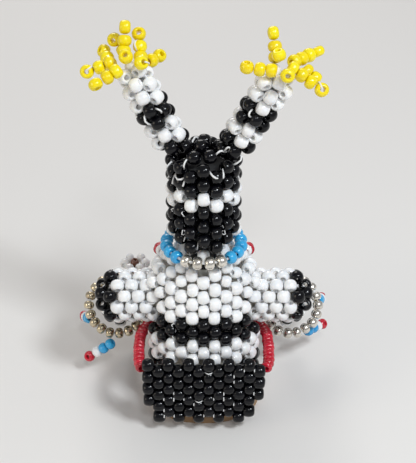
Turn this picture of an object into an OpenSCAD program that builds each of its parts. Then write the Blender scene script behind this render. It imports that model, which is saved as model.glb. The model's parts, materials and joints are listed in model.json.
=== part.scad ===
// Seated beaded clown figure with two tasselled horns.
// Glass seed beads are woven round stuffed cores, so that the beads of
// neighbouring columns sit half a bead apart. The figure faces -Y and sits on z = 0.

/* [Beads] */
// Diameter of a woven bead
bead_d = 2; // [1.8:0.05:2]
// Length of a woven bead along its hole
bead_l = 1.38; // [1.2:0.02:1.38]
// Diameter of the hole in every bead
hole_d = 0.7; // [0.5:0.05:0.8]
// Space for the sewing thread between two beads of a column
thread_gap = 0.05; // [0.04:0.01:0.2]
// Diameter of the thread that the loose strands are strung on
thread_d = 0.35; // [0.2:0.05:0.4]
// Diameter of a bead of the red strands
strand_bead_d = 1.7; // [1.4:0.05:1.75]
// Length of a bead of the red strands
strand_bead_l = 0.8; // [0.7:0.02:0.82]

/* [Torso] */
// Columns of beads round the torso
torso_columns = 28; // [24:2:28]
// Half of the torso's width, to the bead centres
torso_half_w = 7.25; // [7.1:0.05:7.5]
// Half of the torso's depth, to the bead centres
torso_half_d = 6.3; // [6.2:0.05:6.6]
// Forward lean of the torso above the belt, in degrees
torso_lean = 18; // [10:1:20]
// Rounds of beads round the hips, below the lean
hip_rounds = 7; // [6:1:7]

/* [Head] */
// Columns of beads round the head
head_columns = 16; // [14:2:16]
// Radius of the head, to the bead centres
head_r = 4.33; // [4.2:0.05:4.4]
// Rounds of beads up the head
head_rounds = 12; // [11:1:12]
// Forward tilt of the head, in degrees
head_tilt = 8; // [4:1:10]

/* [Horns] */
// Columns of beads round a horn
horn_columns = 6; // [6:2:8]
// Radius of a horn, to the bead centres
horn_r = 1.7; // [1.64:0.02:1.76]
// Rounds of beads along the left horn; the right one has one more
horn_rounds = 13; // [12:1:15]

/* [Limbs] */
// Columns of beads round a sleeve
sleeve_columns = 12; // [10:2:12]
// Radius of a sleeve, to the bead centres
sleeve_r = 3; // [2.95:0.05:3.05]
// Distance from the middle of the body to the end of a sleeve
sleeve_end = 14.4; // [14:0.1:14.6]
// Columns of beads round a forearm or a leg
limb_columns = 8; // [8:2:8]
// Radius of a forearm or a leg, to the bead centres
limb_r = 2.08; // [2.05:0.01:2.15]
// Distance from the middle of the body to the middle of a leg
leg_x = 4.2; // [4:0.1:4.5]
// How far in front of the body's middle the legs end
leg_reach = 20; // [18:0.5:21]

/* [Loose pieces] */
// Columns of beads across the back flap
flap_columns = 12; // [10:2:12]
// Radius of the necklace, to the bead centres
necklace_r = 5.3; // [5.25:0.05:5.5]
// Radius of an armband, to the bead centres
armband_r = 4.3; // [4.25:0.05:4.4]

/* [Hidden] */

row = bead_d + thread_gap;          // from one bead to the next in a column
half_row = row / 2;                 // from one round to the next
bead_r = bead_d / 2;
end_face = 0.32;                    // radius of a bead's flat end, over its diameter
barrel = 0.2;                       // half of a bead's straight barrel, over its length
bead_ball = 2 * norm([bead_d / 2, bead_l * barrel]);    // beads whose centres are this far apart are clear
clear = 0.04;                       // least space between beads of two regions
X = [1, 0, 0];
Z = [0, 0, 1];

// ---- Vectors, frames and bead lists ----
// A frame is [origin, axis, u, v]; a bead is [centre, hole direction, round, column].

function unit(v) = v / norm(v);
function signed_power(b, e) = sign(b) * pow(abs(b), e);
function frame(origin, axis, u) = let (w = unit(axis), v = unit(cross(w, u))) [origin, w, cross(v, w), v];
function at(f, u, v, s) = f[0] + u * f[2] + v * f[3] + s * f[1];
function along(f, p) = (p - f[0]) * f[1];
function off_axis(f, p) = norm((p - f[0]) - along(f, p) * f[1]);
function mirrored(list) = [for (b = list) [[-b[0].x, b[0].y, b[0].z], [-b[1].x, b[1].y, b[1].z], b[2], b[3]]];

// A round tube of beads: only every other column has a bead in each round
function tube(f, n, r, first, rounds, bottom = 0) = [
    for (h = [bottom:bottom + rounds - 1], k = [0:n - 1])
        if ((h + k) % 2 == 0)
            let (a = 360 * k / n)
            [at(f, r * cos(a), r * sin(a), first + h * half_row), cos(a) * f[3] - sin(a) * f[2], h, k]
];

// Whether two beads are clear of each other: far apart, side by side, or end to end
function apart(a, b) =
    let (
        d = b[0] - a[0],
        turn = norm(cross(a[1], b[1])),
        aside = min(norm(cross(d, a[1])), norm(cross(d, b[1]))) / 2,
        face = sqrt(max(pow(end_face * bead_d, 2) - aside * aside, 0))
    )
    norm(d) > bead_ball + clear
    || (turn < 0.3 && 2 * aside > bead_d + thread_gap / 2 + turn * bead_l / 2)
    || (turn < 0.45 && min(abs(d * a[1]), abs(d * b[1])) > bead_l + clear + turn * face);
function fits(b, others) =
    min([1, for (o = others) if (norm(o[0] - b[0]) < 2 * bead_d) apart(b, o) ? 1 : 0]) == 1;

// Keeps the beads that stay clear of every bead of another list
function clear_of(list, others) = [for (b = list) if (fits(b, others)) b];

// Takes places one after another, each only if it is clear of the others and of those taken
function first_fit(places, others, i = 0, taken = []) =
    i == len(places) ? taken
    : fits(places[i], concat(others, taken)) ? first_fit(places, others, i + 1, concat(taken, [places[i]]))
    : first_fit(places, others, i + 1, taken);

// A closing ring of evenly spaced beads
function ring(f, n, r, s, turn = 0) = [
    for (k = [0:n - 1])
        let (a = turn + 360 * k / n)
        [at(f, r * cos(a), r * sin(a), s), cos(a) * f[3] - sin(a) * f[2], 0, k]
];

// ---- Torso section: a rounded oval, with beads at even steps along it ----

oval_power = 2 / 2.25;
oval_steps = 96;
function oval(a, b, t) = [a * signed_power(sin(t), oval_power), b * signed_power(cos(t), oval_power)];
function oval_table(a, b) = [
    for (
        i = 0, s = 0;
        i <= oval_steps;
        s = s + norm(oval(a, b, 360 * (i + 1) / oval_steps) - oval(a, b, 360 * i / oval_steps)), i = i + 1
    ) [s, 360 * i / oval_steps]
];
function oval_beads(f, a, b, n, s, round_number, every_other) =
    let (table = oval_table(a, b), length = table[oval_steps][0])
    [
        for (k = [0:n - 1])
            if (!every_other || (k + round_number) % 2 == 0)
                let (
                    t = lookup(k * length / n, table),
                    p = oval(a, b, t),
                    q = oval(a, b, lookup(k * length / n + 0.1, table)),
                    d = unit(q - p)
                )
                [at(f, p.x, p.y, s), unit(d.x * f[2] + d.y * f[3]), round_number, k]
    ];
function outside_oval(a, b, p) = pow(abs(p.x) / a, 2 / oval_power) + pow(abs(p.y) / b, 2 / oval_power) > 1;

seat_h = 1.1;
hip_y = 0.6;
hip_z = seat_h + bead_r + clear;
lean_z = hip_z + (hip_rounds - 1) * half_row + bead_r;
torso_pivot = [0, hip_y, 10];
torso_axis = [0, -sin(torso_lean), cos(torso_lean)];
hip_frame = [[0, hip_y, 0], Z, X, [0, 1, 0]];
chest_frame = [torso_pivot, torso_axis, X, [0, cos(torso_lean), sin(torso_lean)]];
black_band_s = 3;                   // height of the lowest round of the black band
band_rounds = 3;
first_chest_round = -8;
last_chest_round = 6;
round_shift = 21;                   // keeps the chest's columns in step with the hips'

// ---- Legs and arms ----

leg_z = limb_r + bead_r + 0.25;
leg_frame = frame([leg_x, -4, leg_z], [0, -1, 0], Z);
leg_length = leg_reach - 4;
leg_rounds = floor(leg_length / half_row);
neck_y = -1.5;
neck_r = 3.02;
neck_z = 21.8;
neck_columns = 12;
arm_y = -1.3;
arm_z = 16.4;
sleeve_frame = frame([0, arm_y, arm_z], X, Z);
sleeve_rounds = 9;
sleeve_first = sleeve_end - bead_r - (sleeve_rounds - 1) * half_row;
sleeve_bite = 0.15;                 // how far the sleeves reach into the torso's skin
elbow = [12.9, arm_y, arm_z];
forearm_frame = frame(elbow, [0, -0.72, -0.69], X);
right_forearm_frame = frame(elbow, [-0.02, -0.72, -0.69], X);   // before it is mirrored
forearm_rounds = 9;
forearm_first = sleeve_r + 0.6 * bead_d;
forearm_end = forearm_first + (forearm_rounds - 1) * half_row;

function in_torso(p) =
    let (local = [p.x, (p - torso_pivot) * chest_frame[3]])
    !outside_oval(torso_half_w - sleeve_bite, torso_half_d - sleeve_bite, local);
function in_hips(p) =
    let (margin = p.z < seat_h + bead_r ? bead_d + clear : bead_r)
    !outside_oval(torso_half_w + margin, torso_half_d + margin, [p.x, p.y - hip_y]) && p.z < lean_z + bead_d;

function beside(p) = [abs(p.x), p.y, p.z];
function near_sleeve(p) = off_axis(sleeve_frame, beside(p)) < sleeve_r - 0.6;
function near_leg(p) = p.y < 0 && off_axis(leg_frame, beside(p)) < limb_r + bead_r + clear;

sleeve_tube = [
    for (b = tube(sleeve_frame, sleeve_columns, sleeve_r, sleeve_first, sleeve_rounds))
        if (!in_torso(b[0])) b
];
hip_beads = [
    for (h = [0:hip_rounds - 1])
        for (b = oval_beads(hip_frame, torso_half_w, torso_half_d, torso_columns,
                            hip_z + h * half_row, h, true))
            if (!near_leg(b[0])) b
];
chest_beads = clear_of(
    [
        for (h = [first_chest_round:last_chest_round])
            for (b = oval_beads(chest_frame, torso_half_w, torso_half_d, torso_columns,
                                black_band_s + h * half_row, h + round_shift, true))
                if (b[0].z > lean_z - 0.5 && !near_sleeve(b[0])) b
    ],
    concat(hip_beads, sleeve_tube, mirrored(sleeve_tube))
);
function chest_round(b) = b[2] - round_shift;
function chest_is_white(b) = chest_round(b) >= band_rounds - 1
    || (chest_round(b) < -1 && chest_round(b) >= -1 - band_rounds);

// The shoulders close over the chest: each round is smaller and higher, and its columns run on
shoulder_base = black_band_s + last_chest_round * half_row;
shoulder_rounds = 7;
shoulder_turn = 11;                 // each round leans in this much more than the one below it
shoulder_r = half_row * 1.02 / (shoulder_turn * PI / 180);
function shoulder_s(c) = shoulder_r * (sin(shoulder_turn * (c + 0.5)) - sin(shoulder_turn / 2));
function shoulder_in(c) = shoulder_r * (cos(shoulder_turn / 2) - cos(shoulder_turn * (c + 0.5)));
function shoulder_half_w(c) = torso_half_w - shoulder_in(c);
function shoulder_half_d(c) = torso_half_d - shoulder_in(c);
column_step = oval_table(torso_half_w, torso_half_d)[oval_steps][0] / torso_columns;
// A bead's place on the shoulders, at a length along the oval of its round
function shoulder_place(c, table, along_oval, k) =
    let (
        length = table[oval_steps][0],
        a = shoulder_half_w(c),
        b = shoulder_half_d(c),
        p = oval(a, b, lookup((along_oval + length) % length, table)),
        q = oval(a, b, lookup((along_oval + length + 0.1) % length, table)),
        d = unit(q - p)
    )
    [at(chest_frame, p.x, p.y, shoulder_base + shoulder_s(c)),
        unit(d.x * chest_frame[2] + d.y * chest_frame[3]), c, k];
// The columns of the back and of the front run on upwards until they meet at the sides
shoulder_places = [
    for (c = [1:shoulder_rounds])
        let (table = oval_table(shoulder_half_w(c), shoulder_half_d(c)), length = table[oval_steps][0])
        for (k = [-7:7], half = [0, 1])
            if ((k + c + last_chest_round + round_shift) % 2 == 0 && abs(k) * column_step < length / 4)
                let (b = shoulder_place(c, table, k * column_step + half * length / 2, k))
                if (norm([b[0].x, b[0].y - neck_y]) > neck_r) b
];
both_sleeves = concat(sleeve_tube, mirrored(sleeve_tube));
shoulder_list = first_fit(shoulder_places, concat(chest_beads, both_sleeves));

// Beads that fill the seam between a sleeve and the torso
seam_places = [
    for (s = [6.9:0.35:9], r = [sleeve_r, sleeve_r + 0.45], a = [0:15:345])
        let (p = at(sleeve_frame, r * cos(a), r * sin(a), s))
        if (!in_torso(p)) [p, cos(a) * sleeve_frame[3] - sin(a) * sleeve_frame[2], 0, 0]
];
body_beads = concat(chest_beads, shoulder_list);
seam_beads = first_fit(seam_places, concat(body_beads, mirrored(body_beads), sleeve_tube));
sleeve_list = concat(sleeve_tube, seam_beads);
// Places all over the shoulders, a few of which still take a bead between the regular ones
filler_places = [
    for (c = [1:0.5:shoulder_rounds])
        let (table = oval_table(shoulder_half_w(c), shoulder_half_d(c)), length = table[oval_steps][0])
        for (s = [0:0.4:length - 0.4])
            let (b = shoulder_place(c, table, s, 0))
            if (norm([b[0].x, b[0].y - neck_y]) > neck_r - 0.5) b
];
sleeve_cap = ring(sleeve_frame, 4, 1.4, sleeve_end - bead_r + 1.3, 45);
function forearm_beads(f) = clear_of(
    tube(f, limb_columns, limb_r, forearm_first, forearm_rounds),
    concat(sleeve_list, sleeve_cap)
);
function hand(f) = concat(
    ring(f, 4, 1.3, forearm_end + 2, 22),
    ring(f, 1, 0, forearm_end + 3.7)
);
left_forearm = forearm_beads(forearm_frame);
right_forearm = forearm_beads(right_forearm_frame);
function sleeve_is_black(b) = b[2] >= sleeve_rounds - 1;
function forearm_is_black(b) = b[2] % 4 >= 2;

leg_list = clear_of(
    [for (b = tube(leg_frame, limb_columns, limb_r, 0, leg_rounds)) if (!in_hips(b[0])) b],
    hip_beads
);
foot_rounds = 4;
function leg_is_foot(b) = b[2] >= leg_rounds - foot_rounds;
function leg_is_black(b) = !leg_is_foot(b) && b[2] % 4 < 2;

// ---- Head and neck ----

necklace_z = 25.2;
head_base = [0, neck_y, 27.6];
head_frame = frame(head_base, [0, -sin(head_tilt), cos(head_tilt)], [0, 1, 0]);
necklace_bead_d = 1.9;
function off_necklace(p) = norm([norm([p.x, p.y - neck_y]) - necklace_r, p.z - necklace_z]);
function clear_of_necklace(list) = [
    for (b = list) if (off_necklace(b[0]) > bead_ball / 2 + necklace_bead_d / 2 + clear) b
];
head_bottom = -1;
head_list = clear_of_necklace(tube(head_frame, head_columns, head_r, 0, head_rounds, head_bottom));
band_round = 6;                     // the white ring is this round and the one below
function columns_from_back(b) = min(b[3], head_columns - b[3]);
function is_head_band(b) = b[2] == band_round || b[2] == band_round - 1;
function is_crown(b) = b[2] > band_round;
// The hair's lower edge rises from three columns at the back to the temples
function is_hair(b) = b[2] < band_round - 1
    && columns_from_back(b) <= max(b[2] + 2, 1) && columns_from_back(b) <= 5;
function is_feature(b) = !is_hair(b) && (
    (b[2] == 3 && columns_from_back(b) == head_columns / 2 - 1)
    || (b[2] == 0 && columns_from_back(b) == head_columns / 2)
);
crown_s = (head_rounds - 1 + head_bottom) * half_row;
crown_dome = 2.1;
crown_lift = 0.35;
// Places on the domed top of the head, taken from the rim inwards
crown_places = [
    for (r = [head_r - 0.15:-0.2:0], a = [0:8:352])
        let (
            s = crown_s + crown_lift + crown_dome * (1 - pow(r / head_r, 2)),
            p = at(head_frame, r * cos(a), r * sin(a), s)
        )
        [p, unit(cos(a) * head_frame[3] - sin(a) * head_frame[2]), head_rounds, 0]
];
neck_list = clear_of(
    tube(frame([0, neck_y, neck_z], Z, X), neck_columns, neck_r, 0, 6),
    concat(shoulder_list, chest_beads, head_list)
);
filler_beads = first_fit(filler_places, concat(body_beads, sleeve_list, mirrored(sleeve_list), neck_list));

// ---- Horns and tassels ----

left_horn_frame = frame(head_base + [3.4, -1.3, 11.1], [0.44, 0, 0.9], [0, 1, 0]);
right_horn_frame = frame(head_base + [-3.4, -1.3, 11.1], [-0.44, 0.2, 0.87], [0, 1, 0]);
horn_band = 3;                      // rounds in a band of a horn
function horn_is_white(b) = (b[3] >= 0 && b[3] < horn_band) || b[3] >= 2 * horn_band;
function outside_head(p) = along(head_frame, p) > crown_s + 0.6 || off_axis(head_frame, p) > head_r + bead_r;
// A horn's beads, with the round counted from its lower white band in place of the column
function horn(f, black_rounds, rounds) = clear_of(
    [
        for (b = concat(
            tube(f, horn_columns, horn_r, 0, rounds),
            [for (c = ring(f, 3, 1.22, rounds * half_row + 0.2, rounds % 2 * 60)) [c[0], c[1], rounds, 0]]
        ))
            if (outside_head(b[0])) [b[0], b[1], b[2], b[2] - black_rounds]
    ],
    head_list
);
left_horn = horn(left_horn_frame, horn_band, horn_rounds);
right_horn = horn(right_horn_frame, horn_band + 1, horn_rounds + 1);
left_tip = at(left_horn_frame, 0, 0, horn_rounds * half_row + 1);
right_tip = at(right_horn_frame, 0, 0, (horn_rounds + 1) * half_row + 1);
crown_list = first_fit(crown_places, concat(head_list, left_horn, right_horn));

// Each leaf of a tassel: its first bead's place from the horn's tip, its direction, its strung
// beads, and the hole direction of the bead that is set across its end
left_leaves = [
    [[0.6, -0.7, 1.85], [-0.03, -0.5, 0.85], 2, X],
    [[-1.5, -0.9, 1], [0.08, -0.65, 0.75], 2, [0, 0.85, 0.53]],
    [[-2.85, -2.4, -0.15], [-0.57, -0.82, 0.02], 1, [-0.3, 0.85, 0.5]],
    [[2.55, -1.25, -0.15], [0.33, -0.93, 0.19], 2, [1, 0, 0.5]],
    [[2.5, 0.5, 0.7], [0.94, 0.05, -0.35], 2, [0, 0.85, 0.53]],
    [[1.5, 2.25, 0.35], [0.83, 0.39, -0.4], 2, X],
    [[0.9, -2.9, 1.2], [0.68, -0.39, 0.63], 1, [0.4, 0.8, 0.3]]
];
right_leaves = [
    [[0.85, -1.65, 1.45], [0.1, -0.63, 0.77], 2, X],
    [[1.55, 1, 0.75], [0.99, -0.06, 0.1], 2, Z],
    [[-1.45, -1.15, 1.05], [-0.72, -0.69, 0], 3, [0.5, -0.4, 0.8]],
    [[-1.2, 0.8, 0.95], [-0.8, 0.19, -0.56], 3, [0, 0.85, 0.53]]
];
right_side_leaf = [[-3.15, -0.8, -0.15], [-0.77, 0.25, -0.57], 2];
tassel_bead_d = bead_d * 0.96;
leaf_step = bead_l + 0.05;
leaf_end = leaf_step / 2 + tassel_bead_d / 2 + 0.03;        // from the last strung bead to the one across
function across(d, v) = unit(v - (v * d) * d);
function strung(tip, l) = [
    for (i = [0:l[2] - 1])
        [tip + l[0] + unit(l[1]) * i * leaf_step, unit(l[1]), 0, i]
];
function leaf(tip, l) = concat(
    strung(tip, l),
    [[tip + l[0] + unit(l[1]) * ((l[2] - 1) * leaf_step + leaf_end), across(unit(l[1]), l[3]), 1, 0]]
);
function leaf_beads(tip, leaves) = [for (l = leaves) for (b = leaf(tip, l)) b];
// Places close round the tip of a horn, where beads fill in between the leaves
function knot_places(f, tip) = [
    for (r = [1.4:0.4:3], tilt = [0:20:100], a = [0:24:336])
        let (d = cos(tilt) * f[1] + sin(tilt) * (cos(a) * f[2] + sin(a) * f[3]))
        [tip + r * d, d, 2, 0]
];
function with_knot(list, f, tip, horn_beads) =
    concat(list, first_fit(knot_places(f, tip), concat(list, horn_beads)));
left_tassel = with_knot(leaf_beads(left_tip, left_leaves), left_horn_frame, left_tip, left_horn);
right_tassel = with_knot(
    concat(leaf_beads(right_tip, right_leaves), strung(right_tip, right_side_leaf)),
    right_horn_frame, right_tip, right_horn
);

// ---- Rattle, chest straps and belt ----

hand_tip = at(forearm_frame, 0, 0, forearm_end + 3.7);
rattle_foot = hand_tip + [-2.2, -0.6, 0];
rattle_frame = frame(rattle_foot, Z, X);
rattle_beads = 7;
strand_step = strand_bead_l + 0.13;
strap_beads = 10;
strap_top = [6.6, -6.7, 20.7];
strap_bend = [6.6, -11.6, 19.6];
strap_foot = [2.3, -9.6, 12.2];
function strap_point(w) = pow(1 - w, 2) * strap_top + 2 * w * (1 - w) * strap_bend + w * w * strap_foot;
strap_list = [
    for (i = [0:strap_beads - 1])
        let (w = i / (strap_beads - 1))
        [strap_point(w), unit(strap_point(w + 0.02) - strap_point(w - 0.02)), 0, i]
];

belt_z = 10.1;
belt_drop = 1.6;                    // how much lower the belt hangs at the front
belt_offset = bead_r + strand_bead_d / 2;
belt_half_w = torso_half_w + belt_offset + 0.3;
belt_front = torso_half_d + belt_offset + 1.05;
belt_back = torso_half_d + belt_offset + 2.35;
belt_front_power = 2;
belt_back_power = 4;
belt_open = 50;                     // the loop stops this many degrees from the middle of the back
function belt_point(t) =
    let (
        n = cos(t) > 0 ? belt_back_power : belt_front_power,
        depth = cos(t) > 0 ? belt_back : belt_front,
        r = pow(pow(abs(sin(t)) / belt_half_w, n) + pow(abs(cos(t)) / depth, n), -1 / n)
    )
    [r * sin(t), hip_y + r * cos(t), belt_z - belt_drop * pow(1 - cos(t), 2) / 4];
belt_steps = 160;
belt_span = 360 - 2 * belt_open;
belt_table = [
    for (
        i = 0, s = 0;
        i <= belt_steps;
        s = s + norm(belt_point(belt_open + (i + 1) * belt_span / belt_steps)
                     - belt_point(belt_open + i * belt_span / belt_steps)), i = i + 1
    ) [s, belt_open + i * belt_span / belt_steps]
];
belt_length = belt_table[belt_steps][0];
belt_count = floor(belt_length / strand_step);
function belt_at(s) = belt_point(lookup(s, belt_table));
belt_list = [
    for (i = [0:belt_count - 1])
        let (s = (i + 0.5) * belt_length / belt_count)
        [belt_at(s), unit(belt_at(s + 0.2) - belt_at(s - 0.2)), 0, i]
];

// ---- Flaps ----

back_flap_y = hip_y + torso_half_d + row + 0.2;
back_flap_top = 10.7;
flap_step = bead_l + 0.035;
function flap_length(k) = k == 0 ? 3 : k == flap_columns - 1 ? 4 : 5;
back_flap_list = [
    for (k = [0:flap_columns - 1], j = [0:flap_length(k) - 1])
        [[(k - (flap_columns - 1) / 2) * flap_step, back_flap_y,
          back_flap_top - j * row + k % 2 * half_row], X, j, k]
];
front_flap_frame = [[0, hip_y - belt_front - 2.1, 8.7], unit([0, -1, -0.24]), X, unit([0, -0.24, 1])];
front_flap_columns = 5;
front_flap_list = [
    for (k = [0:front_flap_columns - 1], j = [0:2])
        [at(front_flap_frame, (k - (front_flap_columns - 1) / 2) * flap_step, 0,
            j * row + k % 2 * half_row), X, j, k]
];

// ---- Necklace, armbands and fringes ----

necklace_frame = frame([0, neck_y, necklace_z], Z, [0, 1, 0]);
necklace_count = 20;
necklace_list = ring(necklace_frame, necklace_count, necklace_r, 0, 180 / necklace_count);
function from_back(b) = min(b[3], necklace_count - 1 - b[3]);
silver_half = 2;                    // silver beads on each side of the middle of the back
turquoise_half = 7;                 // turquoise beads end here
red_half = 8;                       // a red bead, and then white ones at the front

armband_s = 8.8;                    // how far along the forearm an armband hangs
armband_sag = 0.25;
function armband_frame(f, out) = frame(at(f, out, -armband_sag, armband_s), f[1], X);
left_armband_frame = armband_frame(forearm_frame, 0.28);
right_armband_frame = armband_frame(right_forearm_frame, 0.28);
armband_bead_d = 1.66;
armband_bead_l = 1.2;
armband_count = 19;
left_armband_list = ring(left_armband_frame, armband_count, armband_r, 0);
right_armband_list = ring(right_armband_frame, armband_count, armband_r, 0);

// A fringe: its armband, its direction, where round the armband it is tied, how far outwards and
// along the arm its first bead lies, and the hole direction of the red bead across its end
left_side_fringe = [left_armband_frame, unit([0.79, -0.06, -0.61]), -80, 1.7, 0.2, [0.3, 0.8, 0.5]];
left_front_fringe = [left_armband_frame, unit([0.3, -0.8, -0.5]), -22, 0.4, 1.75, X];
right_side_fringe = [right_armband_frame, unit([0.59, -0.76, -0.27]), -50, 0.4, 1.75, [0, 0.85, 0.53]];
right_front_fringe = [right_armband_frame, unit([0.2, -0.85, -0.45]), 12, 0.4, 1.75, X];
fringe_bead_d = 1.7;
fringe_bead_l = 1.25;
fringe_turquoise = 2;
fringe_white = 1;
fringe_step = fringe_bead_l + 0.04;
function fringe_point(spec, out, s) =
    at(spec[0], (armband_r + out) * cos(spec[2]), (armband_r + out) * sin(spec[2]), s);
function fringe_bead(spec, i) = [
    fringe_point(spec, spec[3], spec[4]) + spec[1] * i * fringe_step, spec[1], 0, i
];
function fringe_end(spec) = [
    fringe_point(spec, spec[3], spec[4])
    + spec[1] * ((fringe_turquoise + fringe_white - 0.5) * fringe_step + fringe_bead_d / 2 + 0.03),
    across(spec[1], spec[5]), 0, 0
];
function fringe_turquoise_beads(spec) = [for (i = [0:fringe_turquoise - 1]) fringe_bead(spec, i)];
function fringe_white_beads(spec) = [for (i = [0:fringe_white - 1]) fringe_bead(spec, fringe_turquoise + i)];

// ---- Solids ----

// One bead, its hole along Z, with rounded-off ends
module bead(d, l) {
    rotate_extrude($fn = 24)
        polygon([
            [hole_d / 2, -l / 2], [d * end_face, -l / 2], [d / 2, -l * barrel],
            [d / 2, l * barrel], [d * end_face, l / 2], [hole_d / 2, l / 2]
        ]);
}

// Draws every bead of a list with its hole along the bead's own direction
module beads(list, d = bead_d, l = bead_l) {
    for (b = list)
        translate(b[0])
            rotate([0, acos(b[1].z), atan2(b[1].y, b[1].x)])
                bead(d, l);
}

// Puts its children in a frame, with Z along the frame's axis
module in_frame(f, s = 0) {
    translate(at(f, 0, 0, s))
        rotate([0, acos(f[1].z), atan2(f[1].y, f[1].x)])
            children();
}

module both_sides() {
    children();
    mirror(X) children();
}

module oval_plate(a, b, h) {
    linear_extrude(h)
        polygon([for (i = [0:47]) oval(a, b, i * 7.5)]);
}

module seat_pad() {
    color("tan")
        translate([0, hip_y, 0])
            oval_plate(torso_half_w + bead_r, torso_half_d + bead_r, seat_h);
}

core_gap = bead_r + 0.12;

// A thin slice of the chest's stuffing, this far up the leaning chest
module chest_slice(s, half_w, half_d) {
    translate(torso_pivot)
        rotate([torso_lean, 0, 0])
            translate([0, 0, s])
                oval_plate(half_w, half_d, 0.2);
}

module torso_core() {
    core_w = torso_half_w - core_gap;
    core_d = torso_half_d - core_gap;
    slice_gap = 0.3;
    color("wheat") {
        translate([0, hip_y, seat_h])
            oval_plate(core_w, core_d, lean_z - seat_h - 0.4);
        hull() {
            translate([0, hip_y, lean_z - 0.6])
                oval_plate(core_w, core_d - slice_gap, 0.2);
            chest_slice(shoulder_base - 0.6, core_w - slice_gap, core_d - slice_gap);
            chest_slice(shoulder_base + 0.8, shoulder_half_w(2) - core_gap - slice_gap,
                        shoulder_half_d(2) - core_gap - slice_gap);
            chest_slice(shoulder_base + 2.1, shoulder_half_w(4) - core_gap - slice_gap,
                        shoulder_half_d(4) - core_gap - slice_gap);
        }
    }
}

module head_core() {
    neck_core_r = neck_r - bead_r - 0.17;
    head_core_z = 28;
    color("wheat")
        union() {
            translate([0, neck_y, neck_z + 0.1])
                cylinder(h = head_core_z + 0.6 - neck_z, r = neck_core_r, $fn = 48);
            in_frame(head_frame, 0.6)
                cylinder(h = crown_s - 1.1, r = head_r - core_gap, $fn = 48);
        }
}

module horn_wire(f, rounds) {
    foot = 1.5;
    in_frame(f, foot)
        cylinder(h = (rounds - 1) * half_row - foot - 0.3, d = 0.9, $fn = 24);
}

module horn_wires() {
    color("dimgray") {
        horn_wire(left_horn_frame, horn_rounds);
        horn_wire(right_horn_frame, horn_rounds + 1);
    }
}

module arm_core(forearm) {
    inner = torso_half_w - core_gap + 0.2;
    translate([inner, arm_y, arm_z])
        rotate([0, 90, 0])
            cylinder(h = sleeve_end - bead_r - 0.9 - inner, r = sleeve_r - core_gap, $fn = 48);
    in_frame(forearm, forearm_first - 0.2)
        cylinder(h = forearm_end + 0.8 - forearm_first, r = limb_r - core_gap, $fn = 32);
}

module arm_cores() {
    color("wheat") {
        arm_core(forearm_frame);
        mirror(X) arm_core(right_forearm_frame);
    }
}

module leg_cores() {
    first = torso_half_d + 0.1 - 3.9;
    color("wheat")
        both_sides()
            in_frame(leg_frame, first)
                cylinder(h = leg_rounds * half_row - first - 0.4, r = limb_r - core_gap, $fn = 32);
}

module torso_white_beads() {
    color("ivory") beads([for (b = chest_beads) if (chest_is_white(b)) b]);
}

module torso_black_beads() {
    color([0.07, 0.07, 0.08]) {
        beads([for (b = chest_beads) if (!chest_is_white(b)) b]);
        beads(hip_beads);
    }
}

module shoulder_beads() {
    color("ivory") beads(concat(shoulder_list, filler_beads));
}

module neck_beads() {
    color("ivory") beads(neck_list);
}

module face_beads() {
    color("ivory")
        beads([
            for (b = head_list)
                if (!is_hair(b) && !is_feature(b) && !is_head_band(b) && !is_crown(b)) b
        ]);
}

module face_feature_beads() {
    color([0.07, 0.07, 0.08]) beads([for (b = head_list) if (is_feature(b)) b]);
}

module hair_beads() {
    color([0.07, 0.07, 0.08]) beads([for (b = head_list) if (is_hair(b)) b]);
}

module head_band_beads() {
    color("ivory") beads([for (b = head_list) if (is_head_band(b)) b]);
}

module crown_beads() {
    color([0.07, 0.07, 0.08]) {
        beads([for (b = head_list) if (is_crown(b)) b]);
        beads(crown_list);
    }
}

module horn_beads(list, white) {
    color(white ? "ivory" : [0.07, 0.07, 0.08])
        beads([for (b = list) if (horn_is_white(b) == white) b]);
}

module left_horn_black_beads() {
    horn_beads(left_horn, false);
}

module left_horn_white_beads() {
    horn_beads(left_horn, true);
}

module right_horn_black_beads() {
    horn_beads(right_horn, false);
}

module right_horn_white_beads() {
    horn_beads(right_horn, true);
}

module left_tassel_beads() {
    color("gold") beads(left_tassel, tassel_bead_d);
}

module right_tassel_beads() {
    color("gold") beads(right_tassel, tassel_bead_d);
}

function arm_white(forearm) = concat(
    [for (b = sleeve_list) if (!sleeve_is_black(b)) b],
    [for (b = forearm) if (!forearm_is_black(b)) b]
);
function arm_black(forearm) = concat(
    [for (b = sleeve_list) if (sleeve_is_black(b)) b],
    [for (b = forearm) if (forearm_is_black(b)) b],
    sleeve_cap
);

module left_arm_white_beads() {
    color("ivory") beads(arm_white(left_forearm));
}

module left_arm_black_beads() {
    color([0.07, 0.07, 0.08]) beads(arm_black(left_forearm));
}

module left_hand_beads() {
    color("ivory") beads(hand(forearm_frame), bead_d * 0.9, bead_l * 0.95);
}

module right_arm_white_beads() {
    color("ivory") beads(mirrored(arm_white(right_forearm)));
}

module right_arm_black_beads() {
    color([0.07, 0.07, 0.08]) beads(mirrored(arm_black(right_forearm)));
}

module right_hand_beads() {
    color("ivory") beads(mirrored(hand(right_forearm_frame)), bead_d * 0.9, bead_l * 0.95);
}

module leg_pair(list) {
    beads(list);
    beads(mirrored(list));
}

module leg_white_beads() {
    color("ivory") leg_pair([for (b = leg_list) if (!leg_is_foot(b) && !leg_is_black(b)) b]);
}

module leg_black_beads() {
    color([0.07, 0.07, 0.08]) leg_pair([for (b = leg_list) if (leg_is_black(b)) b]);
}

module moccasin_beads() {
    toes = ring(leg_frame, 4, 1.4, (leg_rounds - 1) * half_row + 1.95, 0);
    color("sienna") leg_pair(concat([for (b = leg_list) if (leg_is_foot(b)) b], toes));
}

module rattle_stick_beads() {
    color("saddlebrown")
        beads([for (i = [0:rattle_beads - 1]) [rattle_foot + Z * i * (bead_l + 0.04), Z, 0, i]], 1.4);
}

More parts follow.
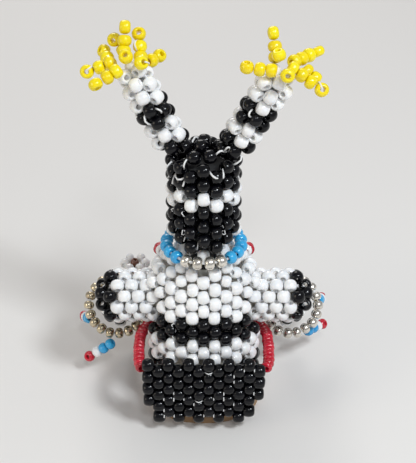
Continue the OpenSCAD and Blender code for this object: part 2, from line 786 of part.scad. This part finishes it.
module rattle_head_beads() {
    color("ivory")
        beads(ring(rattle_frame, 6, 1.62, (rattle_beads - 1) * (bead_l + 0.04)), 1.5, 1.1);
}

module chest_strap_beads() {
    color("crimson") {
        beads(strap_list, strand_bead_d, strand_bead_l);
        beads(mirrored(strap_list), strand_bead_d, strand_bead_l);
    }
}

module back_flap_beads() {
    color([0.07, 0.07, 0.08]) beads(back_flap_list);
}

module front_flap_beads() {
    color([0.07, 0.07, 0.08]) beads(front_flap_list);
}

module belt_beads() {
    color("crimson") beads(belt_list, strand_bead_d, strand_bead_l);
}

module thread_ring(f, r) {
    in_frame(f)
        rotate_extrude($fn = 96)
            translate([r, 0])
                circle(d = thread_d, $fn = 16);
}

module necklace_thread() {
    color("white") thread_ring(necklace_frame, necklace_r);
}

module necklace_silver_beads() {
    color("silver") beads([for (b = necklace_list) if (from_back(b) < silver_half) b], necklace_bead_d);
}

module necklace_turquoise_beads() {
    color("deepskyblue")
        beads([for (b = necklace_list) if (from_back(b) >= silver_half && from_back(b) < turquoise_half) b],
              necklace_bead_d);
}

module necklace_red_beads() {
    color("crimson")
        beads([for (b = necklace_list) if (from_back(b) >= turquoise_half && from_back(b) < red_half) b],
              necklace_bead_d);
}

module necklace_white_beads() {
    color("ivory") beads([for (b = necklace_list) if (from_back(b) >= red_half) b], necklace_bead_d);
}

module left_armband_thread() {
    color("white") thread_ring(left_armband_frame, armband_r);
}

module left_armband_beads() {
    color("goldenrod") beads(left_armband_list, armband_bead_d, armband_bead_l);
}

module right_armband_thread() {
    color("white")
        mirror(X) thread_ring(right_armband_frame, armband_r);
}

module right_armband_beads() {
    color("silver") beads(mirrored(right_armband_list), armband_bead_d, armband_bead_l);
}

module fringe_beads(list) {
    beads(list, fringe_bead_d, fringe_bead_l);
}

module left_side_fringe_turquoise() {
    color("deepskyblue") fringe_beads(fringe_turquoise_beads(left_side_fringe));
}

module left_side_fringe_white() {
    color("ivory") fringe_beads(fringe_white_beads(left_side_fringe));
}

module left_side_fringe_red() {
    color("crimson") fringe_beads([fringe_end(left_side_fringe)]);
}

module left_front_fringe_turquoise() {
    color("deepskyblue") fringe_beads(fringe_turquoise_beads(left_front_fringe));
}

module left_front_fringe_white() {
    color("ivory") fringe_beads(fringe_white_beads(left_front_fringe));
}

module left_front_fringe_red() {
    color("crimson") fringe_beads([fringe_end(left_front_fringe)]);
}

module right_side_fringe_turquoise() {
    color("deepskyblue") fringe_beads(mirrored(fringe_turquoise_beads(right_side_fringe)));
}

module right_side_fringe_white() {
    color("ivory") fringe_beads(mirrored(fringe_white_beads(right_side_fringe)));
}

module right_side_fringe_red() {
    color("crimson") fringe_beads(mirrored([fringe_end(right_side_fringe)]));
}

module right_front_fringe_turquoise() {
    color("deepskyblue") fringe_beads(mirrored(fringe_turquoise_beads(right_front_fringe)));
}

module right_front_fringe_white() {
    color("ivory") fringe_beads(mirrored(fringe_white_beads(right_front_fringe)));
}

module right_front_fringe_red() {
    color("crimson") fringe_beads(mirrored([fringe_end(right_front_fringe)]));
}

seat_pad();
torso_core();
head_core();
horn_wires();
arm_cores();
leg_cores();
torso_white_beads();
torso_black_beads();
shoulder_beads();
neck_beads();
face_beads();
face_feature_beads();
hair_beads();
head_band_beads();
crown_beads();
left_horn_black_beads();
left_horn_white_beads();
right_horn_black_beads();
right_horn_white_beads();
left_tassel_beads();
right_tassel_beads();
left_arm_white_beads();
left_arm_black_beads();
left_hand_beads();
right_arm_white_beads();
right_arm_black_beads();
right_hand_beads();
leg_white_beads();
leg_black_beads();
moccasin_beads();
rattle_stick_beads();
rattle_head_beads();
chest_strap_beads();
back_flap_beads();
front_flap_beads();
belt_beads();
necklace_thread();
necklace_silver_beads();
necklace_turquoise_beads();
necklace_red_beads();
necklace_white_beads();
left_armband_thread();
left_armband_beads();
right_armband_thread();
right_armband_beads();
left_side_fringe_turquoise();
left_side_fringe_white();
left_side_fringe_red();
left_front_fringe_turquoise();
left_front_fringe_white();
left_front_fringe_red();
right_side_fringe_turquoise();
right_side_fringe_white();
right_side_fringe_red();
right_front_fringe_turquoise();
right_front_fringe_white();
right_front_fringe_red();
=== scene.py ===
"""Looks of the seated beaded clown figure: smooth glass beads, sewing thread, felt and leather."""
import json
import math

import bpy
import numpy as np
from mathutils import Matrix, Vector


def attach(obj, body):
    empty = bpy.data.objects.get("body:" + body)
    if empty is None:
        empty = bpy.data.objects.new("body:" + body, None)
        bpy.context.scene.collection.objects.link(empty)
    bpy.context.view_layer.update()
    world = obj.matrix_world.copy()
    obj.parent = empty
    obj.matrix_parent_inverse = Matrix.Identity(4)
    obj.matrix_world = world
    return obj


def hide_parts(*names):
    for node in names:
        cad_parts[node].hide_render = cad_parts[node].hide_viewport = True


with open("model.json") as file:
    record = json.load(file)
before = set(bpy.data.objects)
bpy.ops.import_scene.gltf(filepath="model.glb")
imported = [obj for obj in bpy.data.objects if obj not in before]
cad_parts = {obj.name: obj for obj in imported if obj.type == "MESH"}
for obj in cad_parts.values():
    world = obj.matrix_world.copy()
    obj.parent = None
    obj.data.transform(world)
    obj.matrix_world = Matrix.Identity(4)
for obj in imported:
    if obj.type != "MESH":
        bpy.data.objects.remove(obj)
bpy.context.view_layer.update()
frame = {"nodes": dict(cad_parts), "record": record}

MM = 0.001
rng = np.random.default_rng(11)
behaviour = frame["record"]["behaviour"]
BODY_OF = {node: body for body, nodes in behaviour["bodies"].items() for node in nodes}
SLOT_OF = {part["node"]: part["material_slot"] for part in frame["record"]["subparts"]}

# ---- Camera: from behind and above, as the figure is usually photographed ----

CAMERA_AZIMUTH = 180
CAMERA_ELEVATION = 32
CAMERA_DISTANCE = 165 * MM
CAMERA_TARGET = Vector((-0.6, 0, 28)) * MM
CAMERA_LENS = 92.4


def make_camera():
    camera = bpy.data.objects.new("camera", bpy.data.cameras.new("camera"))
    bpy.context.scene.collection.objects.link(camera)
    azimuth, elevation = math.radians(CAMERA_AZIMUTH), math.radians(CAMERA_ELEVATION)
    back = Vector((
        -math.sin(azimuth) * math.cos(elevation),
        -math.cos(azimuth) * math.cos(elevation),
        math.sin(elevation),
    ))
    camera.location = CAMERA_TARGET + CAMERA_DISTANCE * back
    camera.rotation_euler = (-back).to_track_quat("-Z", "Y").to_euler()
    camera.data.lens = CAMERA_LENS
    camera.data.sensor_width = 36
    camera.data.clip_start = 0.005
    camera.data.clip_end = 10
    bpy.context.scene.camera = camera


make_camera()


# ---- Materials ----

def new_material(name):
    material = bpy.data.materials.new(name)
    material.use_nodes = True
    nodes, links = material.node_tree.nodes, material.node_tree.links
    return material, nodes, links, nodes["Principled BSDF"]


def set_inputs(node, **inputs):
    """Sets a shader node's inputs; underscores in their names stand for spaces."""
    for key, value in inputs.items():
        node.inputs[key.replace("_", " ")].default_value = value


def add_texture(nodes, links, kind, **inputs):
    """A procedural texture in the piece's own coordinates."""
    texture = nodes.new("ShaderNodeTex" + kind)
    set_inputs(texture, **inputs)
    position = nodes.new("ShaderNodeTexCoord")
    links.new(position.outputs["Object"], texture.inputs["Vector"])
    return texture


def add_math(nodes, links, operation, first, second):
    node = nodes.new("ShaderNodeMath")
    node.operation = operation
    node.inputs[1].default_value = second
    links.new(first, node.inputs[0])
    return node


def add_bump(nodes, links, shader, height, strength, distance):
    bump = nodes.new("ShaderNodeBump")
    set_inputs(bump, Strength=strength, Distance=distance)
    links.new(height, bump.inputs["Height"])
    links.new(bump.outputs["Normal"], shader.inputs["Normal"])


def add_colour(nodes, links, shader, factor, low, high, start=0.0, end=1.0):
    """Runs the base colour from low to high while the factor runs from start to end."""
    ramp = nodes.new("ShaderNodeValToRGB")
    stops = ramp.color_ramp.elements
    stops[0].position, stops[0].color = start, (*low, 1)
    stops[1].position, stops[1].color = end, (*high, 1)
    links.new(factor, ramp.inputs["Fac"])
    links.new(ramp.outputs["Color"], shader.inputs["Base Color"])


GLASS_IOR = 1.52
TONE_SHARE = 0.6       # how far a bead's own tone moves its colour
SWIRL_SHARE = 0.45     # how far the swirls inside a bead move it


def bead_material(
    name, dark, light, roughness=0.14,
    metallic=0.0, subsurface=0.0, coat=0.5, specular=0.5, relief=0.25,
):
    """Opaque seed-bead glass: each bead has its own tone, faint swirls and a rippled surface."""
    material, nodes, links, shader = new_material(name)
    tone = nodes.new("ShaderNodeAttribute")
    tone.attribute_name = "tone"
    swirl = add_texture(
        nodes, links, "Noise", Scale=700.0, Detail=3.0, Roughness=0.6, Distortion=0.8
    )
    own_tone = add_math(nodes, links, "MULTIPLY", tone.outputs["Fac"], TONE_SHARE)
    blend = add_math(nodes, links, "MULTIPLY_ADD", swirl.outputs["Fac"], SWIRL_SHARE)
    links.new(own_tone.outputs[0], blend.inputs[2])
    add_colour(nodes, links, shader, blend.outputs[0], dark, light)
    gloss = nodes.new("ShaderNodeMapRange")
    set_inputs(gloss, To_Min=roughness * 0.7, To_Max=roughness * 1.5)
    links.new(swirl.outputs["Fac"], gloss.inputs["Value"])
    links.new(gloss.outputs["Result"], shader.inputs["Roughness"])
    ripple = add_texture(nodes, links, "Noise", Scale=1500.0, Detail=2.0)
    add_bump(nodes, links, shader, ripple.outputs["Fac"], relief, 0.03 * MM)
    set_inputs(
        shader,
        Metallic=metallic,
        Coat_Weight=coat,
        Coat_Roughness=0.06,
        IOR=GLASS_IOR,
        Specular_IOR_Level=specular,
        Subsurface_Weight=subsurface,
        Subsurface_Radius=(1.0, 0.9, 0.8),
        Subsurface_Scale=0.5 * MM,
    )
    return material


def fibre_material(name, dark, light, scale, roughness, sheen, depth):
    """Felt and thread: stretched noise for the fibres, with a soft sheen."""
    material, nodes, links, shader = new_material(name)
    fibres = add_texture(
        nodes, links, "Noise", Scale=scale, Detail=6.0, Roughness=0.7, Distortion=1.6
    )
    add_colour(nodes, links, shader, fibres.outputs["Fac"], dark, light, 0.3, 0.7)
    add_bump(nodes, links, shader, fibres.outputs["Fac"], 0.6, depth)
    set_inputs(shader, Roughness=roughness, Sheen_Weight=sheen, Sheen_Roughness=0.5)
    return material


def leather_material(name, dark, light):
    material, nodes, links, shader = new_material(name)
    grain = add_texture(nodes, links, "Voronoi", Scale=2200.0)
    mottle = add_texture(nodes, links, "Noise", Scale=260.0, Detail=5.0)
    add_colour(nodes, links, shader, mottle.outputs["Fac"], dark, light, 0.3, 0.7)
    add_bump(nodes, links, shader, grain.outputs["Distance"], 0.4, 0.05 * MM)
    set_inputs(shader, Roughness=0.68)
    return material


def wire_material(name, dark, light):
    material, nodes, links, shader = new_material(name)
    scratches = add_texture(nodes, links, "Noise", Scale=3000.0, Detail=3.0)
    add_colour(nodes, links, shader, scratches.outputs["Fac"], dark, light)
    set_inputs(shader, Metallic=1.0, Roughness=0.35)
    return material


MATERIALS = {
    "bead_black": bead_material(
        "black_glass", (0.001, 0.001, 0.0015), (0.004, 0.004, 0.006), 0.075,
        coat=0.0, specular=0.3, relief=0.12,
    ),
    "bead_white": bead_material(
        "white_glass", (0.82, 0.83, 0.84), (0.96, 0.95, 0.93), 0.18, subsurface=0.35
    ),
    "bead_yellow": bead_material(
        "yellow_glass", (0.88, 0.64, 0.0), (1.0, 0.84, 0.003), 0.12, subsurface=0.15, coat=0.25
    ),
    "bead_turquoise": bead_material(
        "turquoise_glass", (0.01, 0.27, 0.60), (0.04, 0.45, 0.80), 0.15
    ),
    "bead_red": bead_material("red_glass", (0.42, 0.004, 0.015), (0.68, 0.012, 0.04), 0.13),
    "bead_brown": bead_material("brown_glass", (0.09, 0.03, 0.018), (0.2, 0.07, 0.04), 0.16),
    "bead_silver": bead_material(
        "silver_glass", (0.62, 0.57, 0.50), (0.86, 0.82, 0.74), 0.2, metallic=0.9
    ),
    "bead_gold": bead_material(
        "gold_glass", (0.50, 0.41, 0.27), (0.76, 0.66, 0.47), 0.22, metallic=0.9
    ),
    "felt_cream": fibre_material(
        "cream_felt", (0.58, 0.54, 0.47), (0.78, 0.75, 0.68), 900.0, 0.95, 0.3, 0.1 * MM
    ),
    "felt_black": fibre_material(
        "black_felt", (0.004, 0.004, 0.004), (0.014, 0.014, 0.016), 900.0, 0.95, 0.1, 0.1 * MM
    ),
    "thread_white": fibre_material(
        "nylon_thread", (0.78, 0.78, 0.77), (0.9, 0.9, 0.89), 4000.0, 0.5, 0.1, 0.02 * MM
    ),
    "leather_tan": leather_material("tan_leather", (0.26, 0.15, 0.075), (0.40, 0.26, 0.14)),
    "wire_steel": wire_material("horn_wire", (0.3, 0.3, 0.31), (0.55, 0.55, 0.56)),
}


def finish_cad_node(node):
    """Gives a CAD node that stays its finished material."""
    obj = frame["nodes"][node]
    obj.data.materials.clear()
    obj.data.materials.append(MATERIALS[SLOT_OF[node]])


# ---- Beads: one in the place of each CAD bead, found from the CAD mesh, and some between ----

def solids_of(node):
    """Splits a CAD node's mesh into its separate solids, as triangle corner arrays."""
    mesh = frame["nodes"][node].data
    mesh.calc_loop_triangles()
    corners = np.empty(len(mesh.vertices) * 3)
    mesh.vertices.foreach_get("co", corners)
    triangles = np.empty(len(mesh.loop_triangles) * 3, dtype=np.int64)
    mesh.loop_triangles.foreach_get("vertices", triangles)
    points, welded = np.unique(np.round(corners.reshape(-1, 3), 7), axis=0, return_inverse=True)
    triangles = welded.ravel()[triangles].reshape(-1, 3)
    label = np.arange(len(points))
    while True:
        lowest = label[triangles].min(axis=1)
        before = label.copy()
        for corner in range(3):
            np.minimum.at(label, triangles[:, corner], lowest)
        label = label[label]
        if (label == before).all():
            break
    owner = label[triangles[:, 0]]
    return [points[triangles[owner == solid]] for solid in np.unique(owner)]


def bead_place(corners):
    """A bead's centre, hole direction, diameter and length, from its triangles."""
    points = corners.reshape(-1, 3)
    centre = (points.min(axis=0) + points.max(axis=0)) / 2
    normals = np.cross(corners[:, 1] - corners[:, 0], corners[:, 2] - corners[:, 0])
    area = np.linalg.norm(normals, axis=1)
    kept = area > 0
    normals = normals[kept] / np.sqrt(area[kept])[:, None]
    # the faces spread equally in the two directions across the hole: the third is the hole's
    spread, directions = np.linalg.eigh(normals.T @ normals)
    axis = directions[:, 0] if spread[1] - spread[0] > spread[2] - spread[1] else directions[:, 2]
    offsets = points - centre
    height = offsets @ axis
    radius = np.linalg.norm(offsets - height[:, None] * axis, axis=1)
    return {
        "centre": centre,
        "axis": axis,
        "diameter": 2 * radius.max(),
        "length": height.max() - height.min(),
    }


# Half of a bead's outline, from the hole to the widest point: radius and height as shares of
# the bead's own
BEAD_RIM = [
    (0.36, 0.82), (0.42, 0.95), (0.51, 1.0), (0.65, 0.95),
    (0.79, 0.82), (0.90, 0.62), (0.975, 0.34), (1.0, 0.0),
]
BEAD_OUTLINE = BEAD_RIM + [(r, -h) for r, h in reversed(BEAD_RIM[:-1])]
BEAD_SIDES = 24
# How much the beads differ from each other
SIZE_SPREAD = 0.02
LENGTH_SPREAD = 0.045
LENGTH_LIMITS = (-0.08, 0.05)
LEAN_SPREAD = 0.03
TILT_SPREAD = math.radians(3.5)
SHIFT_SPREAD = 0.025 * MM
WOVEN_FULLNESS = 1.2   # woven beads fill their columns; strung ones already touch end to end


def basis(axis):
    """Two directions square to an axis."""
    helper = np.array([0.0, 0.0, 1.0]) if abs(axis[2]) < 0.8 else np.array([1.0, 0.0, 0.0])
    u = np.cross(axis, helper)
    u /= np.linalg.norm(u)
    return u, np.cross(axis, u)


def bead_vertices(place, fullness):
    """A bead's points: no two beads are quite the same size or sit quite straight."""
    axis = place["axis"] + rng.normal(0, TILT_SPREAD, 3)
    axis /= np.linalg.norm(axis)
    u, v = basis(axis)
    radius = place["diameter"] / 2 * (1 - abs(rng.normal(0, SIZE_SPREAD)))
    stretch = np.clip(rng.normal(0, LENGTH_SPREAD), *LENGTH_LIMITS)
    half = fullness * place["length"] / 2 * (1 + stretch)
    squash = 1 - abs(rng.normal(0, SIZE_SPREAD / 2))
    lean = rng.normal(0, LEAN_SPREAD)
    centre = place["centre"] + rng.normal(0, SHIFT_SPREAD, 3)
    turn = rng.uniform(0, 2 * math.pi)
    angles = turn + np.arange(BEAD_SIDES) * 2 * math.pi / BEAD_SIDES
    points = []
    for r, h in BEAD_OUTLINE:
        across = r * radius
        along = h * half * (1 + lean * np.cos(angles - turn))
        points.append(
            centre
            + np.cos(angles)[:, None] * across * u
            + np.sin(angles)[:, None] * across * squash * v
            + along[:, None] * axis
        )
    return np.concatenate(points)


def bead_faces():
    """The faces of one bead: a closed ring of quads round its outline."""
    rows = len(BEAD_OUTLINE)
    faces = []
    for row in range(rows):
        after = (row + 1) % rows
        for side in range(BEAD_SIDES):
            turn = (side + 1) % BEAD_SIDES
            faces.append((
                row * BEAD_SIDES + side,
                row * BEAD_SIDES + turn,
                after * BEAD_SIDES + turn,
                after * BEAD_SIDES + side,
            ))
    return np.array(faces)


def make_mesh(name, vertices, faces, material, tones=None):
    mesh = bpy.data.meshes.new(name)
    mesh.from_pydata(vertices.tolist(), [], faces.tolist())
    mesh.validate()
    mesh.polygons.foreach_set("use_smooth", [True] * len(mesh.polygons))
    if tones is not None:
        mesh.attributes.new("tone", "FLOAT", "POINT").data.foreach_set("value", tones)
    mesh.materials.append(material)
    obj = bpy.data.objects.new(name, mesh)
    bpy.context.scene.collection.objects.link(obj)
    return obj


def make_beads(node, places):
    """One piece with every bead of a node, in the node's colour of glass."""
    one = bead_faces()
    count = len(BEAD_OUTLINE) * BEAD_SIDES
    fullness = 1.0 if node in STRUNG else WOVEN_FULLNESS
    vertices = np.concatenate([bead_vertices(place, fullness) for place in places])
    faces = np.concatenate([one + count * i for i in range(len(places))])
    tones = np.repeat(rng.uniform(0, 1, len(places)), count)
    piece = make_mesh(node + "_glass", vertices, faces, MATERIALS[SLOT_OF[node]], tones)
    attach(piece, BODY_OF[node])
    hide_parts(node)
    return piece


BEAD_NODES = [node for node, slot in SLOT_OF.items() if slot.startswith("bead_")]
STRUNG_WORDS = ("necklace", "armband", "fringe", "belt", "strap", "tassel", "rattle", "hand")
STRUNG = [node for node in BEAD_NODES if any(word in node for word in STRUNG_WORDS)]
PLACES = {node: [bead_place(solid) for solid in solids_of(node)] for node in BEAD_NODES}


def places_of(*nodes):
    return [place for node in nodes for place in PLACES[node]]


# Added beads that the CAD model doesn't have: small ones, squeezed into the gaps of the shoulders
# and the upper chest that are too narrow for a whole bead. They overlap their neighbours a little.
GAP_SPAN = (2.6 * MM, 4.6 * MM)        # how far apart the beads on both sides of a gap are
GAP_ROOM = 1.5 * MM                    # from a squeezed bead's centre to the next one's
GAP_HEIGHTS = (16.0 * MM, 22.9 * MM)   # from the black band to the necklace
GAP_LIFT = 0.25 * MM                   # outwards from the middle between two beads
GAP_INSIDE = np.array([0.0, -1.5, 16.0]) * MM
SQUEEZE = 0.88


def gap_places(seeds, around):
    """Places halfway between two beads, the roomiest first, until none has room left."""
    centres = np.array([place["centre"] for place in around])
    found = []
    for seed in seeds:
        for other in around:
            span = np.linalg.norm(other["centre"] - seed["centre"])
            if not GAP_SPAN[0] < span < GAP_SPAN[1]:
                continue
            middle = (seed["centre"] + other["centre"]) / 2
            outward = (middle - GAP_INSIDE) / np.linalg.norm(middle - GAP_INSIDE)
            middle = middle + GAP_LIFT * outward
            if GAP_HEIGHTS[0] < middle[2] < GAP_HEIGHTS[1]:
                found.append((middle, seed))
    squeezed = []
    while found:
        rooms = [np.linalg.norm(centres - middle, axis=1).min() for middle, _ in found]
        best = int(np.argmax(rooms))
        if rooms[best] < GAP_ROOM:
            break
        middle, seed = found[best]
        squeezed.append({
            "centre": middle,
            "axis": seed["axis"],
            "diameter": seed["diameter"] * SQUEEZE,
            "length": seed["length"] * SQUEEZE,
        })
        centres = np.vstack([centres, middle])
        found = [item for item, room in zip(found, rooms) if room > GAP_ROOM]
    return squeezed


PLACES["shoulder_beads"] += gap_places(
    places_of("shoulder_beads", "torso_white_beads"),
    places_of(
        "shoulder_beads", "torso_white_beads", "torso_black_beads", "neck_beads",
        "chest_strap_beads", "left_arm_white_beads", "right_arm_white_beads", "hair_beads",
        "face_beads",
    ),
)
for bead_node in BEAD_NODES:
    make_beads(bead_node, PLACES[bead_node])
for cad_node in SLOT_OF:
    if cad_node not in BEAD_NODES:
        finish_cad_node(cad_node)


# ---- Sewing thread: short stitches from bead to bead, seen here and there between columns ----

THREAD_RADIUS = 0.075 * MM
THICK_THREAD_RADIUS = 0.13 * MM
LOOP_THREAD_RADIUS = 0.11 * MM
THREAD_SIDES = 6
STITCH_BULGE = 0.85 * MM
STITCH_REACH = 1.45 * MM
STITCH_STEPS = 5
LOOP_STEPS = 9
OUTWARD_VIEW = 5.5 * MM   # the beads within this distance say which way is outwards


def thread_tube(points, radius):
    """A round tube along points, closed at both ends."""
    points = np.array(points)
    directions = np.gradient(points, axis=0)
    directions /= np.linalg.norm(directions, axis=1)[:, None]
    u, _ = basis(directions[0])
    rings, faces = [], []
    for point, direction in zip(points, directions):
        u = u - direction * (u @ direction)
        u /= np.linalg.norm(u)
        v = np.cross(direction, u)
        for side in range(THREAD_SIDES):
            angle = 2 * math.pi * side / THREAD_SIDES
            rings.append(point + radius * (math.cos(angle) * u + math.sin(angle) * v))
    for ring in range(len(points) - 1):
        for side in range(THREAD_SIDES):
            turn = (side + 1) % THREAD_SIDES
            a, b = ring * THREAD_SIDES, (ring + 1) * THREAD_SIDES
            faces.append((a + side, a + turn, b + turn))
            faces.append((a + side, b + turn, b + side))
    last = (len(points) - 1) * THREAD_SIDES
    for side in range(1, THREAD_SIDES - 1):
        faces.append((0, side + 1, side))
        faces.append((last, last + side, last + side + 1))
    return np.array(rings), np.array(faces)


def make_thread(name, paths, body, radius=THREAD_RADIUS):
    vertices, faces, start = [], [], 0
    for path in paths:
        points, links = thread_tube(path, radius)
        vertices.append(points)
        faces.append(links + start)
        start += len(points)
    piece = make_mesh(
        name, np.concatenate(vertices), np.concatenate(faces), MATERIALS["thread_white"]
    )
    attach(piece, body)
    return piece


def stitches(places, shown, outward=None, bulge=STITCH_BULGE, reach=STITCH_REACH):
    """Arcs between hole ends in neighbouring columns; only a share of them is shown."""
    centres = np.array([place["centre"] for place in places])
    ends, owners = [], []
    for i, place in enumerate(places):
        for side in (-1, 1):
            ends.append(place["centre"] + side * place["axis"] * place["length"] / 2)
            owners.append(i)
    ends = np.array(ends)
    paths = []
    for a in range(len(ends)):
        gap = np.linalg.norm(ends[a + 1:] - ends[a], axis=1)
        for b in np.nonzero(gap < reach)[0] + a + 1:
            if owners[a] == owners[b] or rng.uniform() > shown:
                continue
            middle = (ends[a] + ends[b]) / 2
            if outward is None:
                near = centres[np.linalg.norm(centres - middle, axis=1) < OUTWARD_VIEW]
                push = middle - near.mean(axis=0)
                push /= max(np.linalg.norm(push), 1e-9)
            else:
                push = np.array(outward, dtype=float)
            share = np.linspace(0, 1, STITCH_STEPS)[:, None]
            lift = bulge * rng.uniform(0.85, 1.15)
            arc = push * lift * 4 * share * (1 - share)
            paths.append(ends[a] * (1 - share) + ends[b] * share + arc)
    return paths


# Each sewn part: its beads, and the share of its stitches that show
SEWN = [
    (["torso_black_beads"], 0.10),
    (["torso_white_beads"], 0.04),
    (["hair_beads", "head_band_beads"], 0.14),
    (["face_beads", "face_feature_beads"], 0.05),
    (["left_arm_white_beads", "left_arm_black_beads"], 0.07),
    (["right_arm_white_beads", "right_arm_black_beads"], 0.07),
    (["leg_white_beads", "leg_black_beads", "moccasin_beads"], 0.07),
]
make_thread(
    "figure_stitches",
    [path for nodes, shown in SEWN for path in stitches(places_of(*nodes), shown)],
    "figure",
)
# The crown is sewn shut with longer, looser stitches that run every way
CROWN = places_of("crown_beads", "left_horn_black_beads", "right_horn_black_beads")
make_thread(
    "crown_stitches",
    stitches(CROWN, 0.10, bulge=1.0 * MM, reach=2.2 * MM),
    "figure",
    THICK_THREAD_RADIUS,
)


def end_loops(places, shown, reach):
    """Short threads that come out of a bead's hole and go round its side."""
    paths = []
    for place in places:
        if rng.uniform() > shown:
            continue
        u, v = basis(place["axis"])
        angle = rng.uniform(0, 2 * math.pi)
        side = math.cos(angle) * u + math.sin(angle) * v
        half, radius = place["length"] / 2, place["diameter"] / 2
        bend = np.linspace(-1, 1, LOOP_STEPS)[:, None] * math.pi / 2
        along = np.sin(bend) * (half + reach) * place["axis"]
        paths.append(place["centre"] + along + np.cos(bend) * (radius + reach) * side)
    return paths


for tassel in ("left_tassel", "right_tassel"):
    loops = end_loops(PLACES[tassel + "_beads"], 0.2, 0.1 * MM)
    make_thread(tassel + "_thread", loops, "figure", LOOP_THREAD_RADIUS)
# Each flap and the side its stitches show on
for flap, outward in (("back_flap", (0, 1, 0)), ("front_flap", (0, -0.2, 1))):
    make_thread(flap + "_stitches", stitches(PLACES[flap + "_beads"], 0.22, outward), flap)


# ---- Stage ----

FLOOR_REACH = 3.0
# Each light: name, place, size in metres, watts and colour
LIGHTS = [
    ("key", (-0.16, 0.16, 0.30), 0.07, 0.75, (0.90, 0.95, 1.0)),
    ("window", (-0.03, 0.24, 0.30), 0.04, 0.16, (0.93, 0.96, 1.0)),
    ("fill", (0.30, 0.16, 0.14), 0.16, 0.22, (1.0, 0.90, 0.74)),
    ("rim", (0.05, -0.30, 0.25), 0.16, 0.35, (1.0, 0.97, 0.93)),
]


def make_floor():
    mesh = bpy.data.meshes.new("floor")
    corners = [(-1, -1, 0), (1, -1, 0), (1, 1, 0), (-1, 1, 0)]
    mesh.from_pydata([Vector(corner) * FLOOR_REACH for corner in corners], [], [(0, 1, 2, 3)])
    floor = bpy.data.objects.new("floor", mesh)
    bpy.context.scene.collection.objects.link(floor)
    material, _, _, shader = new_material("pale_floor")
    set_inputs(shader, Base_Color=(0.78, 0.76, 0.73, 1), Roughness=0.9)
    mesh.materials.append(material)


def make_light(name, place, size, watts, colour):
    lamp = bpy.data.lights.new(name, "AREA")
    lamp.size = size
    lamp.energy = watts
    lamp.color = colour
    obj = bpy.data.objects.new(name, lamp)
    bpy.context.scene.collection.objects.link(obj)
    obj.location = place
    obj.rotation_euler = (CAMERA_TARGET - Vector(place)).to_track_quat("-Z", "Y").to_euler()


def make_world():
    world = bpy.data.worlds.new("studio")
    world.use_nodes = True
    set_inputs(world.node_tree.nodes["Background"], Color=(0.93, 0.95, 1.0, 1), Strength=0.36)
    bpy.context.scene.world = world


make_floor()
for light in LIGHTS:
    make_light(*light)
make_world()
bpy.context.scene.view_settings.view_transform = "Standard"
